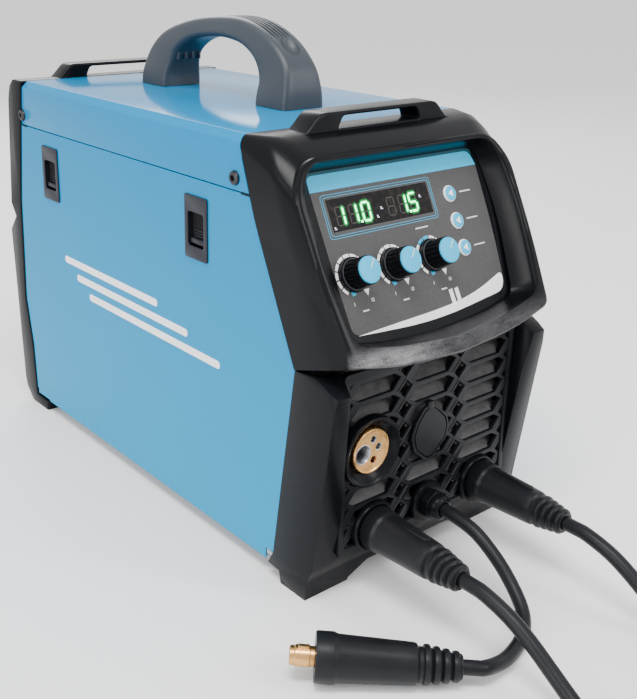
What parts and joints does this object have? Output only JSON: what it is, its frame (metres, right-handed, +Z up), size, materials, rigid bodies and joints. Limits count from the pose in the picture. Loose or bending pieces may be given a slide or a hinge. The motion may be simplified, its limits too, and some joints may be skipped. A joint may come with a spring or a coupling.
{
  "type": "welding machine",
  "caption": "Portable inverter welding machine with a tilted control panel, arch carry handle, side door over a wire feeder, and twist-lock leads with an earth clamp and an electrode holder.",
  "frame": {"origin": "on the floor, under the middle of the machine measured without its leads", "axes": "+X to the right seen from the front, the control panel faces -Y, +Z up; the side door is on -X"},
  "size_m": [0.3565, 0.863, 0.368],
  "materials": {
    "blue_paint": "gloss",
    "black_plastic": "gloss",
    "black_rubber": "matt",
    "grey_plastic": "satin",
    "panel_film": "satin, fine flakes",
    "light_blue_plastic": "satin",
    "smoked_window": "gloss",
    "brass": "turned",
    "steel": "zinc plated",
    "aluminium": "cast and extruded",
    "circuit_board": "solder mask"
  },
  "bodies": {
    "machine": {"base_tray": "steel", "carry_handle": "grey_plastic", "casing_cover": "blue_paint", "clamp_fixed_jaw": "steel", "control_board": "circuit_board", "control_panel": "panel_film", "display_window": "smoked_window", "earth_lead": "black_rubber", "earth_lead_coil": "black_rubber", "euro_connector": "brass", "euro_socket_housing": "black_plastic", "fan_housing": "black_plastic", "feed_motor": "steel", "feeder_plate": "aluminium", "front_bezel": "black_plastic", "front_grille": "black_plastic", "gas_inlet": "brass", "gland_nut": "black_plastic", "heat_sink": "aluminium", "hinge_rod": "steel", "holder_body": "black_plastic", "holder_lead": "black_rubber", "holder_lead_coil": "black_rubber", "lead_gland": "black_plastic", "mains_gland": "black_plastic", "middle_bulkhead": "steel", "output_socket_left": "black_plastic", "output_socket_right": "black_plastic", "polarity_lead": "black_rubber", "polarity_pin": "brass", "polarity_plug": "black_rubber", "power_board": "circuit_board", "rear_bezel": "black_plastic", "rear_panel": "black_plastic", "spool_spindle": "black_plastic", "switch_housing": "black_plastic"},
    "side_door": {"side_door": "blue_paint", "latch_frame_front": "black_plastic", "latch_frame_rear": "black_plastic"},
    "latch_slider_front": {"latch_slider_front": "grey_plastic"},
    "latch_slider_rear": {"latch_slider_rear": "grey_plastic"},
    "knob_left": {"knob_left": "black_plastic"},
    "knob_middle": {"knob_middle": "black_plastic"},
    "knob_right": {"knob_right": "black_plastic"},
    "button_top": {"button_top": "light_blue_plastic"},
    "button_middle": {"button_middle": "light_blue_plastic"},
    "button_bottom": {"button_bottom": "light_blue_plastic"},
    "port_cover": {"port_cover": "black_rubber"},
    "switch_rocker": {"switch_rocker": "black_plastic"},
    "fan_rotor": {"fan_rotor": "black_plastic"},
    "drive_roll": {"drive_roll": "steel"},
    "tension_lever": {"tension_lever": "black_plastic"},
    "pressure_arm": {"pressure_arm": "grey_plastic"},
    "pressure_roll": {"pressure_roll": "steel"},
    "wire_spool": {"wire_spool": "steel"},
    "spool_nut": {"spool_nut": "grey_plastic"},
    "earth_plug": {"earth_plug": "black_rubber"},
    "holder_plug": {"holder_plug": "black_rubber"},
    "clamp_moving_jaw": {"clamp_moving_jaw": "steel"},
    "holder_lever": {"holder_lever": "black_plastic"}
  },
  "joints": [
    {"name": "door_hinge", "type": "hinge", "parent": "machine", "child": "side_door", "pos_m": [-0.1008, 0, 0.0123], "axis": [0, -1, 0], "range_deg": [0, 90]},
    {"name": "latch_front_slide", "type": "slide", "parent": "side_door", "child": "latch_slider_front", "axis": [0, 0, -1], "range_m": [0, 0.005], "stiffness_N_per_m": 200, "springref_m": -0.004},
    {"name": "latch_rear_slide", "type": "slide", "parent": "side_door", "child": "latch_slider_rear", "axis": [0, 0, -1], "range_m": [0, 0.005], "stiffness_N_per_m": 200, "springref_m": -0.004},
    {"name": "knob_left_turn", "type": "hinge", "parent": "machine", "child": "knob_left", "pos_m": [-0.061, -0.19748, 0.22093], "axis": [0, -0.8965, 0.443], "range_deg": [-150, 150]},
    {"name": "knob_middle_turn", "type": "hinge", "parent": "machine", "child": "knob_middle", "pos_m": [-0.024, -0.19748, 0.22093], "axis": [0, -0.8965, 0.443], "range_deg": [-150, 150]},
    {"name": "knob_right_turn", "type": "hinge", "parent": "machine", "child": "knob_right", "pos_m": [0.013, -0.19748, 0.22093], "axis": [0, -0.8965, 0.443], "range_deg": [-150, 150]},
    {"name": "button_top_press", "type": "slide", "parent": "machine", "child": "button_top", "axis": [0, 0.8965, -0.443], "range_m": [0, 0.0012], "stiffness_N_per_m": 500, "springref_m": -0.001},
    {"name": "button_middle_press", "type": "slide", "parent": "machine", "child": "button_middle", "axis": [0, 0.8965, -0.443], "range_m": [0, 0.0012], "stiffness_N_per_m": 500, "springref_m": -0.001},
    {"name": "button_bottom_press", "type": "slide", "parent": "machine", "child": "button_bottom", "axis": [0, 0.8965, -0.443], "range_m": [0, 0.0012], "stiffness_N_per_m": 500, "springref_m": -0.001},
    {"name": "port_cover_hinge", "type": "hinge", "parent": "machine", "child": "port_cover", "pos_m": [-0.004, -0.2188, 0.1246], "axis": [1, 0, 0], "range_deg": [-95, 0]},
    {"name": "switch_rocker_tilt", "type": "hinge", "parent": "machine", "child": "switch_rocker", "pos_m": [0.048, 0.1985, 0.245], "axis": [1, 0, 0], "range_deg": [0, 18]},
    {"name": "fan_spin", "type": "hinge", "parent": "machine", "child": "fan_rotor", "pos_m": [0.04, 0.1845, 0.145], "axis": [0, 1, 0], "continuous": true},
    {"name": "drive_roll_spin", "type": "hinge", "parent": "machine", "child": "drive_roll", "pos_m": [-0.0612, -0.085, 0.0918], "axis": [1, 0, 0], "continuous": true},
    {"name": "tension_lever_swing", "type": "hinge", "parent": "machine", "child": "tension_lever", "pos_m": [-0.05, -0.12, 0.092], "axis": [1, 0, 0], "range_deg": [0, 60]},
    {"name": "pressure_arm_lift", "type": "hinge", "parent": "machine", "child": "pressure_arm", "pos_m": [-0.05, -0.05, 0.124], "axis": [-1, 0, 0], "range_deg": [0, 7.5]},
    {"name": "pressure_roll_spin", "type": "hinge", "parent": "pressure_arm", "child": "pressure_roll", "pos_m": [-0.0612, -0.085, 0.1184], "axis": [1, 0, 0], "continuous": true},
    {"name": "spool_turn", "type": "hinge", "parent": "machine", "child": "wire_spool", "pos_m": [-0.062, 0.075, 0.13], "axis": [1, 0, 0], "continuous": true},
    {"name": "spool_nut_turn", "type": "hinge", "parent": "machine", "child": "spool_nut", "pos_m": [-0.092, 0.075, 0.13], "axis": [1, 0, 0], "continuous": true},
    {"name": "earth_plug_twist", "type": "hinge", "parent": "machine", "child": "earth_plug", "pos_m": [-0.0535, -0.26, 0.0455], "axis": [0, -1, 0], "range_deg": [0, 70]},
    {"name": "holder_plug_twist", "type": "hinge", "parent": "machine", "child": "holder_plug", "pos_m": [0.0535, -0.26, 0.0455], "axis": [0, -1, 0], "range_deg": [0, 70]},
    {"name": "clamp_jaw_open", "type": "hinge", "parent": "machine", "child": "clamp_moving_jaw", "pos_m": [-0.018, -0.555, 0.014], "axis": [0, 0, -1], "range_deg": [0, 12], "stiffness_Nm_per_rad": 2, "springref_deg": -17.19},
    {"name": "holder_lever_press", "type": "hinge", "parent": "machine", "child": "holder_lever", "pos_m": [0.026, -0.5655, 0.0258], "axis": [-1, 0, 0], "range_deg": [0, 9], "stiffness_Nm_per_rad": 2, "springref_deg": -17.19}
  ],
  "couplings": [
    {"joint": "pressure_arm_lift", "follows": "tension_lever_swing", "ratio": 0.125}
  ]
}
